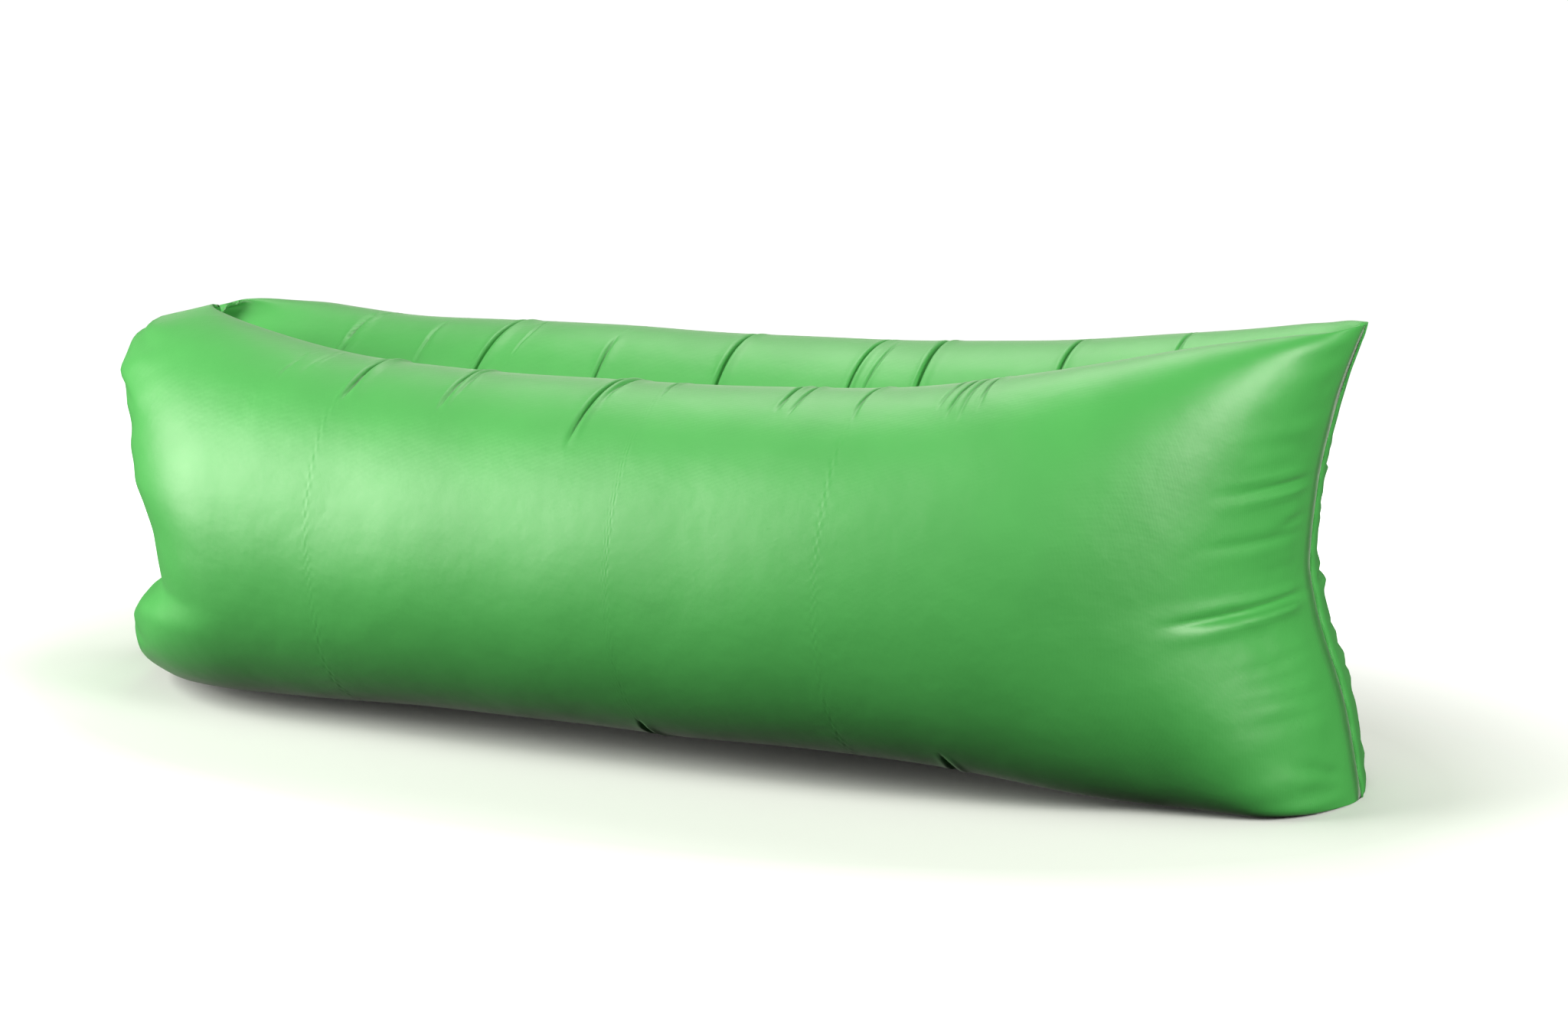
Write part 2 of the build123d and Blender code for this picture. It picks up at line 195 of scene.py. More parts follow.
# Folds on the outer sides, by the foot seam and then by the mouth: x and z where each starts, x and z where
# it ends, and its depth and width in millimetres
SIDE_FOLDS = [
    (0.886, 0.418, 0.790, 0.414, 9.0, 4.5),
    (0.886, 0.382, 0.845, 0.352, 6.0, 4.5),
    (0.890, 0.272, 0.735, 0.258, 13.0, 5.5),
    (0.885, 0.452, 0.868, 0.460, 2.5, 5.0),
    (0.860, 0.351, 0.772, 0.352, 2.5, 6.0),
    (0.835, 0.245, 0.887, 0.166, 2.2, 5.0),
    (0.890, 0.203, 0.813, 0.189, 2.2, 5.0),
    (0.890, 0.173, 0.818, 0.172, 2.2, 4.5),
    (0.890, 0.150, 0.835, 0.160, 2.0, 4.5),
    (0.925, 0.050, 0.880, 0.085, 3.0, 6.0),
    (0.925, 0.560, 0.880, 0.520, 3.0, 6.0),
    (-0.800, 0.164, -0.715, 0.200, 5.0, 8.0),
    (-0.770, 0.455, -0.700, 0.430, 3.0, 7.0),
    (-0.775, 0.520, -0.690, 0.500, 3.0, 7.0),
    (-0.800, 0.110, -0.700, 0.090, 3.0, 7.0),
]
# Folds under both tubes, listed as those across the top
BOTTOM_FOLDS = [
    (0.065, 145, 178, 3.5, 6.0),
    (0.480, 145, 178, 3.0, 6.0),
]
MILLIMETRE = 0.001
ROWS = 400
COLUMNS = 224
SIDE_DENSITY = 0.25  # how much closer the columns stand on the upright sides than on average
FOLD_ROW_REACH = 0.008
FOLD_ROW_WEIGHT = 6.0
FOLD_SHARPNESS = 0.62  # of the widths listed above
CAP_ROWS = 16
PLEATS = 18
LINER_STEP = 4
LINER_INSET = 0.009
LINER_MOUTH_ROWS = 8  # how many of its rings it stops short of the mouth


def row_shares(folds, side):
    """Shares of the tube's length for its rings: closer together at the folds and in the mouth's dome."""
    mouth_x = FRONT_MOUTH_X if side < 0 else BACK_MOUTH_X
    fine = np.linspace(0, 1, 4001)
    x = mouth_x + (FOOT_X - mouth_x) * fine
    density = np.ones_like(fine)
    for fold in folds:
        density += FOLD_ROW_WEIGHT * np.exp(-(((x - fold[0]) / FOLD_ROW_REACH) ** 2))
    density += 3.0 * np.exp(-(((1 - fine) / 0.012) ** 2)) + 6.0 * np.exp(-((fine / 0.012) ** 2))
    along = np.concatenate([[0], np.cumsum((density[1:] + density[:-1]) / 2)])
    return np.interp(np.linspace(0, along[-1], ROWS), along, fine)


def ring_angles():
    """Angles round a ring, closer together on its sides. The two sides match, so that they meet along the seam."""
    even = np.linspace(0, 2 * math.pi, COLUMNS, endpoint=False)
    return even + SIDE_DENSITY * np.sin(2 * even)


def grid_normals(points):
    """Unit normals of a grid whose columns close on themselves, turned outward."""
    along = np.gradient(points, axis=0)
    around = np.roll(points, -1, axis=1) - np.roll(points, 1, axis=1)
    normals = np.cross(around, along)
    length = np.linalg.norm(normals, axis=2, keepdims=True)
    normals = normals / np.maximum(length, 1e-12)
    outward = points - points.mean(axis=1, keepdims=True)
    if (normals * outward).sum() < 0:
        normals = -normals
    return normals


def signed_degrees(angles):
    """Angles as degrees from the top: above zero on the outer side, below it on the inner side."""
    degrees = np.degrees(angles)
    return np.where(degrees > 180, degrees - 360, degrees)


def crease(distance, width):
    """A fold's section: a sharp valley, and the soft puff that its slack cloth makes beside it."""
    valley = np.exp(-((np.abs(distance) / width) ** 1.15))
    puff = 0.45 * np.exp(-(((distance - 2.4 * width) / (1.9 * width)) ** 2))
    lip = 0.25 * np.exp(-(((distance + 2.1 * width) / (1.6 * width)) ** 2))
    return valley - puff - lip


def fold_depths(points, angles, folds):
    """How far each point goes inward, in metres: the folds across a tube, and those on its outer side."""
    degrees = signed_degrees(angles)[None, :]
    x, z = points[..., 0] / MILLIMETRE, points[..., 2] / MILLIMETRE
    depth = np.zeros(points.shape[:2])
    for place, start, end, deep, width in folds:
        span = end - start
        share = (degrees - start) / span
        reach = np.clip(1 - (2 * share - 1) ** 2, 0, 1) ** 0.6 * (share > 0) * (share < 1)
        wander = 3.0 * np.sin(share * 5.0 + place * 40.0)
        spread = FOLD_SHARPNESS * width * (0.8 + 0.5 * np.clip(share, 0, 1))
        depth += deep * reach * crease(x - place / MILLIMETRE - wander, spread)
    outer = smooth_step(5, 25, degrees) * smooth_step(175, 155, degrees)
    for x0, z0, x1, z1, deep, width in SIDE_FOLDS:
        start, end = np.array([x0, z0]) / MILLIMETRE, np.array([x1, z1]) / MILLIMETRE
        run = end - start
        length = np.hypot(*run)
        run = run / length
        along = ((x - start[0]) * run[0] + (z - start[1]) * run[1]) / length
        across = -(x - start[0]) * run[1] + (z - start[1]) * run[0]
        reach = smooth_step(-0.6, -0.1, along) * smooth_step(1.0, 0.15, along)
        depth += deep * reach * outer * crease(across, width * (0.7 + 0.6 * np.clip(along, 0, 1)))
    return depth * MILLIMETRE


# Depths in millimetres
SWELL_DEPTH = 1.5
CRUMPLE_DEPTH = 1.6
PUCKER_DEPTH = 2.2


def rumple(points, side):
    """Soft unevenness of slack cloth, in metres: long swells all over, crumples by the foot seam and puckers
    by the mouth's rim."""
    x, y, z = points[..., 0], points[..., 1], points[..., 2]
    swell = np.sin(9.1 * x + 5.3 * z + side) * np.sin(7.7 * z - 3.1 * x + 1.7)
    swell = swell + 0.6 * np.sin(17.3 * x - 8.9 * z + 2.1 * side) * np.sin(13.1 * y + 6.1 * x)
    by_seam = smooth_step(0.80, 0.93, x)
    crumple = np.sin(95 * z + 30 * x + 2 * np.sin(41 * z)) * np.sin(63 * z - 50 * x + side)
    by_rim = smooth_step(-0.66, -0.76, x)
    pucker = np.sin(70 * z + 25 * y + side) * np.sin(38 * z - 20 * x)
    depth = SWELL_DEPTH * swell + CRUMPLE_DEPTH * by_seam * crumple + PUCKER_DEPTH * by_rim * pucker
    return depth * MILLIMETRE


def new_mesh(name, points, faces):
    """A smooth-shaded mesh object from points and faces."""
    mesh = bpy.data.meshes.new(name)
    mesh.from_pydata([tuple(p) for p in points], [], faces)
    mesh.update()
    for polygon in mesh.polygons:
        polygon.use_smooth = True
    piece = bpy.data.objects.new(name, mesh)
    bpy.context.scene.collection.objects.link(piece)
    return piece


def ring_faces(rows, columns, base=0):
    """Faces between the rings of a grid whose columns close on themselves. base is its first point's number."""
    faces = []
    for row in range(rows - 1):
        for column in range(columns):
            after = (column + 1) % columns
            low, high = base + row * columns, base + (row + 1) * columns
            faces.append((low + column, low + after, high + after, high + column))
    return faces


def weld(piece, distance=1e-5):
    """Joins points that meet, drops faces that close up, and turns the faces outward."""
    work = bmesh.new()
    work.from_mesh(piece.data)
    bmesh.ops.remove_doubles(work, verts=work.verts, dist=distance)
    bmesh.ops.dissolve_degenerate(work, edges=work.edges, dist=distance / 10)
    bmesh.ops.recalc_face_normals(work, faces=work.faces)
    for face in work.faces:
        face.smooth = True
    work.to_mesh(piece.data)
    work.free()
    return piece


def tube_mesh(name, points, capped=True):
    """A closed mesh from a grid of rings. Its last ring meets itself along a seam, and its first is capped or
    does the same."""
    rows, columns = points.shape[:2]
    faces = ring_faces(rows, columns)
    if capped:
        faces.append(tuple(range(columns))[::-1])
    return weld(new_mesh(name, points.reshape(-1, 3), faces))


# Where each tube's end dome is gathered into the neck: x, y and half height of the slit, for front and back
NECK_SLIT = {-1: (-0.852, -0.007, 0.105), 1: (-0.866, 0.003, 0.115)}
SLIT_HALF_WIDTH = 0.003
GATHER_POWER = 1.7  # above 1, the dome stays full near the rim and runs in steeply at the neck
PLEAT_DEPTH = 0.007


def mouth_cap(rim, angles, side):
    """Rings from the mouth's rim in to the neck, with pleats that deepen as the cloth is gathered."""
    slit_x, slit_y, slit_half = NECK_SLIT[side]
    level, out = np.cos(angles), np.sin(angles)
    slit_z = NECK_Z + slit_half * level
    slit = np.stack([np.full_like(angles, slit_x), slit_y + side * SLIT_HALF_WIDTH * out, slit_z], -1)
    rings = []
    for row in range(1, CAP_ROWS + 1):
        share = row / CAP_ROWS
        ring = rim + (slit - rim) * share
        ring[:, 0] = rim[:, 0] + (slit[:, 0] - rim[:, 0]) * share**GATHER_POWER
        deep = PLEAT_DEPTH * math.sin(math.pi * share) * share
        ring[:, 0] += deep * np.sin(PLEATS * angles + 1.3 * np.sin(3 * angles))
        rings.append(ring)
    return np.array(rings)[::-1]


# The cloth simulation: slack cloth blown up a little, and held softly to its form
CLOTH_ROW_STEP = 3
CLOTH_COLUMN_STEP = 2
CLOTH_FRAMES = 24
CLOTH_PRESSURE = 1.0
CLOTH_SHRINK = -0.03  # below zero: the cloth is this share larger than its form
CLOTH_HOLD = 0.85
CLOTH_HOLD_STIFFNESS = 10.0
CLOTH_AIR_DAMPING = 5.0
CLOTH_DAMPING = 25.0
CLOTH_PINNED_DEPTH = 0.004  # points this near the floor or the plane where the tubes meet stay where they are


def cloth_shift(points):
    """How far a tube's cloth moves from this grid in the simulation, on some of its rings and columns.
    It moves little more than a millimetre anywhere: the folds that can be seen come from fold_depths."""
    rows = np.unique(np.append(np.arange(0, len(points), CLOTH_ROW_STEP), len(points) - 1))
    coarse = points[rows][:, ::CLOTH_COLUMN_STEP]
    count_rows, count_columns = coarse.shape[:2]
    piece = new_mesh("cloth_trial", coarse.reshape(-1, 3), ring_faces(count_rows, count_columns))
    held = np.zeros(coarse.shape[:2], bool)
    held[:2], held[-2:] = True, True
    held |= np.abs(coarse[..., 1]) < CLOTH_PINNED_DEPTH
    held |= coarse[..., 2] < CLOTH_PINNED_DEPTH
    pins = piece.vertex_groups.new(name="pins")
    pins.add(np.flatnonzero(~held).tolist(), CLOTH_HOLD, "REPLACE")
    pins.add(np.flatnonzero(held).tolist(), 1.0, "REPLACE")
    cloth = piece.modifiers.new("cloth", "CLOTH")
    settings = cloth.settings
    settings.quality = 5
    settings.mass = 0.1
    settings.tension_stiffness = settings.compression_stiffness = 15
    settings.shear_stiffness = 5
    settings.bending_stiffness = 0.3
    settings.tension_damping = settings.compression_damping = settings.shear_damping = CLOTH_DAMPING
    settings.bending_damping = 2.0
    settings.air_damping = CLOTH_AIR_DAMPING
    settings.use_pressure = True
    settings.uniform_pressure_force = CLOTH_PRESSURE
    settings.shrink_min = CLOTH_SHRINK
    settings.vertex_group_mass = "pins"
    settings.pin_stiffness = CLOTH_HOLD_STIFFNESS
    settings.effector_weights.gravity = 0
    cloth.collision_settings.use_collision = False
    cloth.point_cache.frame_start, cloth.point_cache.frame_end = 1, CLOTH_FRAMES
    scene = bpy.context.scene
    for number in range(1, CLOTH_FRAMES + 1):
        scene.frame_set(number)
    blown = piece.evaluated_get(bpy.context.evaluated_depsgraph_get()).to_mesh()
    places = np.empty(len(blown.vertices) * 3)
    blown.vertices.foreach_get("co", places)
    scene.frame_set(1)
    bpy.data.objects.remove(piece)
    shift = places.reshape(coarse.shape) - coarse
    filled = np.empty((len(points), count_columns, 3))
    for column in range(count_columns):
        for axis in range(3):
            filled[:, column, axis] = np.interp(np.arange(len(points)), rows, shift[:, column, axis])
    full = np.empty_like(points)
    full[:, 0::CLOTH_COLUMN_STEP] = filled
    full[:, 1::CLOTH_COLUMN_STEP] = (filled + np.roll(filled, -1, axis=1)) / 2
    return full


def tube_surface(side):
    """The grid of one tube's cloth with its folds, from the neck to the foot seam."""
    folds = (FRONT_FOLDS if side < 0 else BACK_FOLDS) + BOTTOM_FOLDS
    shares, angles = row_shares(folds, side), ring_angles()
    points = tube_rings(shares, angles, side)
    normals = grid_normals(points)
    move = rumple(points, side) - fold_depths(points, angles, folds)
    still = smooth_step(1.0, 0.992, shares)[:, None]
    points = points + normals * (move * still)[..., None]
    points = points + cloth_shift(points) * still[..., None]
    inner = np.sin(angles)[None, :] < 0.1
    near = np.minimum(points[..., 1], -FLATTENED_GAP)
    points[..., 1] = np.where(inner | (points[..., 1] > -FLATTENED_GAP), near, points[..., 1])
    points[..., 2] = np.maximum(points[..., 2], 0.0)
    if side > 0:
        points[..., 1] *= -1
    return np.concatenate([mouth_cap(points[0], angles, side), points])


def swept(name, path, across, section):
    """Sweeps a closed section, given as (across, outward) pairs, along a path of points."""
    path, across = np.asarray(path, float), np.asarray(across, float)
    tangent = np.gradient(path, axis=0)
    tangent /= np.linalg.norm(tangent, axis=1, keepdims=True)
    outward = np.cross(tangent, across)
    outward /= np.linalg.norm(outward, axis=1, keepdims=True)
    section = np.asarray(section, float)
    points = (
        path[:, None]
        + section[None, :, 0, None] * across[None, None]
        + section[None, :, 1, None] * outward[:, None]
    )
    rows, columns = points.shape[:2]
    faces = ring_faces(rows, columns)
    faces.append(tuple(range(columns))[::-1])
    faces.append(tuple((rows - 1) * columns + column for column in range(columns)))
    piece = new_mesh(name, points.reshape(-1, 3), faces)
    work = bmesh.new()
    work.from_mesh(piece.data)
    bmesh.ops.recalc_face_normals(work, faces=work.faces)
    work.to_mesh(piece.data)
    work.free()
    return piece


def ribbed_section(width, thickness, ribs, rib_depth):
    """A strap's section: flat, with rounded ribs along both faces."""
    across = np.linspace(-width / 2, width / 2, 8 * ribs + 1)
    rib = rib_depth * np.abs(np.cos(math.pi * ribs * (across / width + 0.5)))
    edge = np.sqrt(np.clip(1 - (2 * np.abs(across) / width) ** 16, 0, 1))
    half = (thickness / 2 - rib_depth) * edge + rib * edge
    upper = list(zip(across, half))
    lower = list(zip(across[::-1], -half[::-1]))
    return upper + lower[1:-1]


# The ring of the rolled mouth
RING_ARC_RADIUS = 0.055
RING_STRAIGHT = 0.190
ROLL_GAP = 0.112  # between the ring's two ends, where the buckle is
ROLL_RADIUS = 0.017
ROLL_TURNS = 4
CORE_HALF = (0.0138, 0.0028)
LAYER_SHARE = 0.62  # of the space for one turn that its cloth fills
ROLL_WAVE_SPAN = 0.78
ROLL_WAVE_DEPTH = 0.0009
ROLL_OUTER_SHARE = 0.85  # points further out than this share of the radius are on the roll's outside


def ring_path(short=0.0):
    """The open ring's centre line in its upright plane, from its upper end by the neck side to its lower end."""
    low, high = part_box("rolled_mouth")
    x = (low.x + high.x) / 2
    middle_z = (low.z + high.z) / 2
    middle_y = (low.y + high.y) / 2
    upper_z, lower_z = middle_z + RING_STRAIGHT / 2, middle_z - RING_STRAIGHT / 2
    gap_half = ROLL_GAP / 2 + short
    buckle_y = middle_y + RING_ARC_RADIUS
    neck_y = middle_y - RING_ARC_RADIUS
    spots = [(buckle_y, z) for z in np.linspace(middle_z + gap_half, upper_z, 12)[:-1]]
    for turn in np.linspace(0, math.pi, 34)[:-1]:
        y = middle_y + RING_ARC_RADIUS * math.cos(turn)
        spots.append((y, upper_z + RING_ARC_RADIUS * math.sin(turn)))
    spots += [(neck_y, z) for z in np.linspace(upper_z, lower_z, 40)[:-1]]
    for turn in np.linspace(math.pi, 2 * math.pi, 34)[:-1]:
        y = middle_y + RING_ARC_RADIUS * math.cos(turn)
        spots.append((y, lower_z + RING_ARC_RADIUS * math.sin(turn)))
    spots += [(buckle_y, z) for z in np.linspace(lower_z, middle_z - gap_half, 12)]
    return [(x, y, z) for y, z in spots]


def spiral_section():
    """The roll's section: one strip of cloth wound round the flat core."""
    turns = np.linspace(0, 2 * math.pi * ROLL_TURNS, 36 * ROLL_TURNS + 1)
    share = turns / turns[-1]
    wide = CORE_HALF[0] + (ROLL_RADIUS - CORE_HALF[0]) * share
    tall = CORE_HALF[1] + (ROLL_RADIUS - CORE_HALF[1]) * share
    wide_in = wide - LAYER_SHARE * (ROLL_RADIUS - CORE_HALF[0]) / ROLL_TURNS
    tall_in = tall - LAYER_SHARE * (ROLL_RADIUS - CORE_HALF[1]) / ROLL_TURNS
    outer = list(zip(wide * np.cos(turns), tall * np.sin(turns)))
    inner = list(zip(wide_in * np.cos(turns), tall_in * np.sin(turns)))
    return outer + inner[::-1]


def make_roll():
    """The rolled mouth bent to its ring, with a slight wave on its outside."""
    path = ring_path()
    piece = swept("rolled_mouth_cloth", path, (1, 0, 0), spiral_section())
    points = np.array([v.co for v in piece.data.vertices])
    centre = np.repeat(np.array(path), len(points) // len(path), axis=0)
    away = points - centre
    length = np.linalg.norm(away, axis=1, keepdims=True)
    along = np.repeat(np.linspace(0, ROLL_WAVE_SPAN, len(path)), len(points) // len(path))
    turn = np.arctan2(away[:, 0], away[:, 1] + away[:, 2])
    wave = np.sin(58 * along + 2.0 * turn) * np.sin(23 * along + 0.7) + 0.5 * np.sin(131 * along + 3 * turn)
    outer = (length[:, 0] > ROLL_OUTER_SHARE * ROLL_RADIUS).astype(float)
    points = points + away / np.maximum(length, 1e-9) * (ROLL_WAVE_DEPTH * wave * outer)[:, None]
    for vertex, place in zip(piece.data.vertices, points):
        vertex.co = place
    piece.data.update()
    return piece


# The collar between the tubes' domes and the roll: x, middle y, half width and half height
COLLAR_STATIONS = (
    (-0.835, -0.011, 0.010, 0.138),
    (-0.862, -0.002, 0.013, 0.142),
    (-0.888, 0.010, 0.013, 0.122),
    (-0.909, 0.016, 0.010, 0.094),
)
COLLAR_PLEATS = 30
COLLAR_THICKNESS = 0.0006
COLLAR_ROWS = 26
COLLAR_COLUMNS = 240
COLLAR_PLEAT_DEPTH = 0.0022


def make_collar():
    """The gathered neck: an upright pleated sleeve from between the domes into the roll."""
    stations = np.array(COLLAR_STATIONS)
    order = np.argsort(stations[:, 0])
    xs = stations[order, 0]
    rows = np.linspace(xs[0], xs[-1], COLLAR_ROWS)
    middle, wide, tall = (gentle_curve(xs, stations[order, k], rows) for k in (1, 2, 3))
    angles = np.linspace(0, 2 * math.pi, COLLAR_COLUMNS, endpoint=False)
    pleat = np.abs(np.sin(COLLAR_PLEATS / 2 * angles + 0.6 * np.sin(5 * angles))) - 0.6
    depth = COLLAR_PLEAT_DEPTH * np.linspace(1.2, 0.8, len(rows))
    y = middle[:, None] + (wide[:, None] + depth[:, None] * pleat) * np.sin(angles)
    z = NECK_Z + (tall[:, None] + depth[:, None] * pleat) * np.cos(angles)
    x = np.repeat(rows[:, None], len(angles), axis=1)
    points = np.stack([x, y, z], -1)
    piece = new_mesh("mouth_collar_cloth", points.reshape(-1, 3), ring_faces(len(rows), len(angles)))
    solid = piece.modifiers.new("thickness", "SOLIDIFY")
    solid.thickness = COLLAR_THICKNESS
    solid.offset = -1
    return piece


BINDING_THICK = 0.0042
BINDING_WIDE = 0.009
BINDING_INWARD = 0.003  # how far its middle stands in from the seam
BINDING_WAVE = 0.0009
STITCH_PITCH = 0.0042
STITCH_SHARE = 0.65  # of the pitch that is thread
STITCH_RADIUS = 0.00028


def make_binding():
    """The narrow bound edge down the foot seam, with a row of stitches on each face."""
    heights = np.linspace(0, math.pi, 160)
    seam = tube_rings(np.array([0.9999, 1.0]), heights, -1)[1]
    path = np.stack([seam[:, 0], np.zeros(len(heights)), seam[:, 2]], -1)
    path[:, 0] += BINDING_WAVE * np.sin(130 * path[:, 2]) - BINDING_INWARD
    section = ribbed_section(BINDING_THICK, BINDING_WIDE, 3, 0.0002)
    band = swept("foot_seam_binding", path, (0, 1, 0), section)
    for vertex in band.data.vertices:
        vertex.co.z = max(vertex.co.z, 0.0)
    stitches = []
    length = np.concatenate([[0], np.cumsum(np.linalg.norm(np.diff(path, axis=0), axis=1))])
    for face in (-1, 1):
        for start in np.arange(0.004, length[-1] - 0.006, STITCH_PITCH):
            spots = np.linspace(start, start + STITCH_PITCH * STITCH_SHARE, 5)
            line = np.stack([np.interp(spots, length, path[:, k]) for k in range(3)], -1)
            line[:, 0] -= 0.002
            arch = np.sin(np.linspace(0, math.pi, 5))
            line[:, 1] = face * (BINDING_THICK / 2 + 0.0003 * arch)
            stitches.append(line)
    return band, thread_mesh("foot_seam_stitches", stitches, STITCH_RADIUS)


THREAD_SIDES = 6


def thread_mesh(name, lines, radius):
    """Short round threads along several lines, as one mesh."""
    sides = THREAD_SIDES
    points, faces = [], []
    for line in lines:
        line = np.asarray(line, float)
        tangent = np.gradient(line, axis=0)
        tangent /= np.linalg.norm(tangent, axis=1, keepdims=True)
        helper = np.array([1.0, 0, 0]) if abs(tangent[0, 0]) < 0.9 else np.array([0, 1.0, 0])
        first = np.cross(tangent, helper)
        first /= np.linalg.norm(first, axis=1, keepdims=True)
        second = np.cross(tangent, first)
        base = len(points)
        for spot, one, two in zip(line, first, second):
            for side in range(sides):
                turn = 2 * math.pi * side / sides
                points.append(spot + radius * (math.cos(turn) * one + math.sin(turn) * two))
        faces += ring_faces(len(line), sides, base)
        faces.append(tuple(base + side for side in range(sides))[::-1])
        faces.append(tuple(base + (len(line) - 1) * sides + side for side in range(sides)))
    return new_mesh(name, points, faces)


# Straps through the buckle's bars
STRAP_WIDTH = 0.025
STRAP_THICKNESS = 0.0014
STRAP_RIBS = 11
STRAP_RIB_DEPTH = 0.00016
LAYER_HALF = 0.00075
LOOP_HALF = 0.0026
BAR_HEIGHT = 0.003
LOOP_OPEN = 0.004
LOOP_CLOSED = 0.011
IN_ROLL = 0.021
TACK_HEIGHTS = (0.014, 0.019)
TACK_WIDTH = 0.018
TACK_TALL = 0.0022
TACK_STEPS = 26
TACK_RADIUS = 0.0002


def strap_path(bar_edge, way, roll_end, y):
    """A doubled strap's middle line: out of the roll, round the bar and back, as heights and depths."""
    turn_z = bar_edge - way * BAR_HEIGHT
    opened, closed = bar_edge + way * LOOP_OPEN, bar_edge + way * LOOP_CLOSED
    inside = roll_end + way * IN_ROLL
    side = [(LAYER_HALF, z) for z in np.linspace(inside, closed, 10)]
    spread = np.linspace(0, 1, 9)[1:]
    ease = spread * spread * (3 - 2 * spread)
    side += list(zip(LAYER_HALF + (LOOP_HALF - LAYER_HALF) * ease, closed + (opened - closed) * spread))
    side += [(LOOP_HALF, z) for z in np.linspace(opened, turn_z, 6)[1:]]
    turns = np.linspace(0, math.pi, 15)[1:-1]
    round_bar = [(LOOP_HALF * math.cos(t), turn_z - way * LOOP_HALF * math.sin(t)) for t in turns]
    other = [(-depth, z) for depth, z in side[::-1]]
    return [(y + depth, z) for depth, z in side + round_bar + other]


def make_straps():
    """Both webbing tabs, and the bar tacks through them."""
    plug_low, plug_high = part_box("buckle_plug")
    socket_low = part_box("buckle_socket")[0]
    roll_low, roll_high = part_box("rolled_mouth")
    x, y = (plug_low.x + plug_high.x) / 2, (plug_low.y + plug_high.y) / 2
    middle_z = (roll_low.z + roll_high.z) / 2
    section = ribbed_section(STRAP_WIDTH, STRAP_THICKNESS, STRAP_RIBS, STRAP_RIB_DEPTH)
    tabs, tacks = [], []
    for name, edge, way in (("upper", plug_high.z, 1), ("lower", socket_low.z, -1)):
        path = [(x, depth, z) for depth, z in strap_path(edge, way, middle_z + way * ROLL_GAP / 2, y)]
        tabs.append(swept(f"{name}_webbing_tab", path, (1, 0, 0), section))
        for height in TACK_HEIGHTS:
            for face in (-1, 1):
                across = np.linspace(-TACK_WIDTH / 2, TACK_WIDTH / 2, TACK_STEPS)
                swing = (TACK_TALL / 2) * (-1.0) ** np.arange(TACK_STEPS)
                depth = y + face * (LAYER_HALF + STRAP_THICKNESS / 2 + TACK_RADIUS / 2)
                z = edge + way * height + swing
                tacks.append(np.stack([x + across, np.full(TACK_STEPS, depth), z], -1))
    return tabs, thread_mesh("bar_tacks", tacks, TACK_RADIUS)


def make_seam_tape():
    """The ribbed tape between the two tubes, with a slight wave along it."""
    low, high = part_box("centre_seam_tape")
    along = np.linspace(low.x, high.x, 240)
    middle = (low.z + high.z) / 2 + 0.0008 * np.sin(21 * along)
    path = np.stack([along, np.full_like(along, (low.y + high.y) / 2), middle], -1)
    section = ribbed_section(high.z - low.z, high.y - low.y, 7, 0.0001)
    return swept("centre_seam_webbing", path, (0, 0, 1), section)


LINER_LEAST_DEPTH = 0.13


def make_liner(name, grid):
    """The film bladder just inside a tube's cloth."""
    coarse = grid[CAP_ROWS::LINER_STEP, ::LINER_STEP]
    depth = np.ptp(coarse[..., 1], axis=1)
    coarse = coarse[depth > LINER_LEAST_DEPTH][LINER_MOUTH_ROWS:]
    inside = coarse - grid_normals(coarse) * LINER_INSET
    closed = np.concatenate([[pinched(inside[0])], inside, [pinched(inside[-1])]])
    return tube_mesh(name, closed, capped=False)


def pinched(ring):
    """A ring closed flat on itself: each point and the one across from it meet halfway."""
    across = -np.arange(len(ring)) % len(ring)
    return (ring + ring[across]) / 2


# Materials. Colours are linear
NYLON = (0.066, 0.395, 0.080, 1)
NYLON_DEEP = (0.057, 0.362, 0.070, 1)
BINDING_GREEN = (0.060, 0.400, 0.075, 1)
FILM = (0.72, 0.76, 0.74, 1)
FILM_DULL = (0.62, 0.66, 0.64, 1)
BLACK = (0.012, 0.012, 0.014, 1)
BLACK_WORN = (0.022, 0.022, 0.024, 1)
STRIP = (0.55, 0.55, 0.50, 1)
STRIP_DULL = (0.45, 0.45, 0.41, 1)


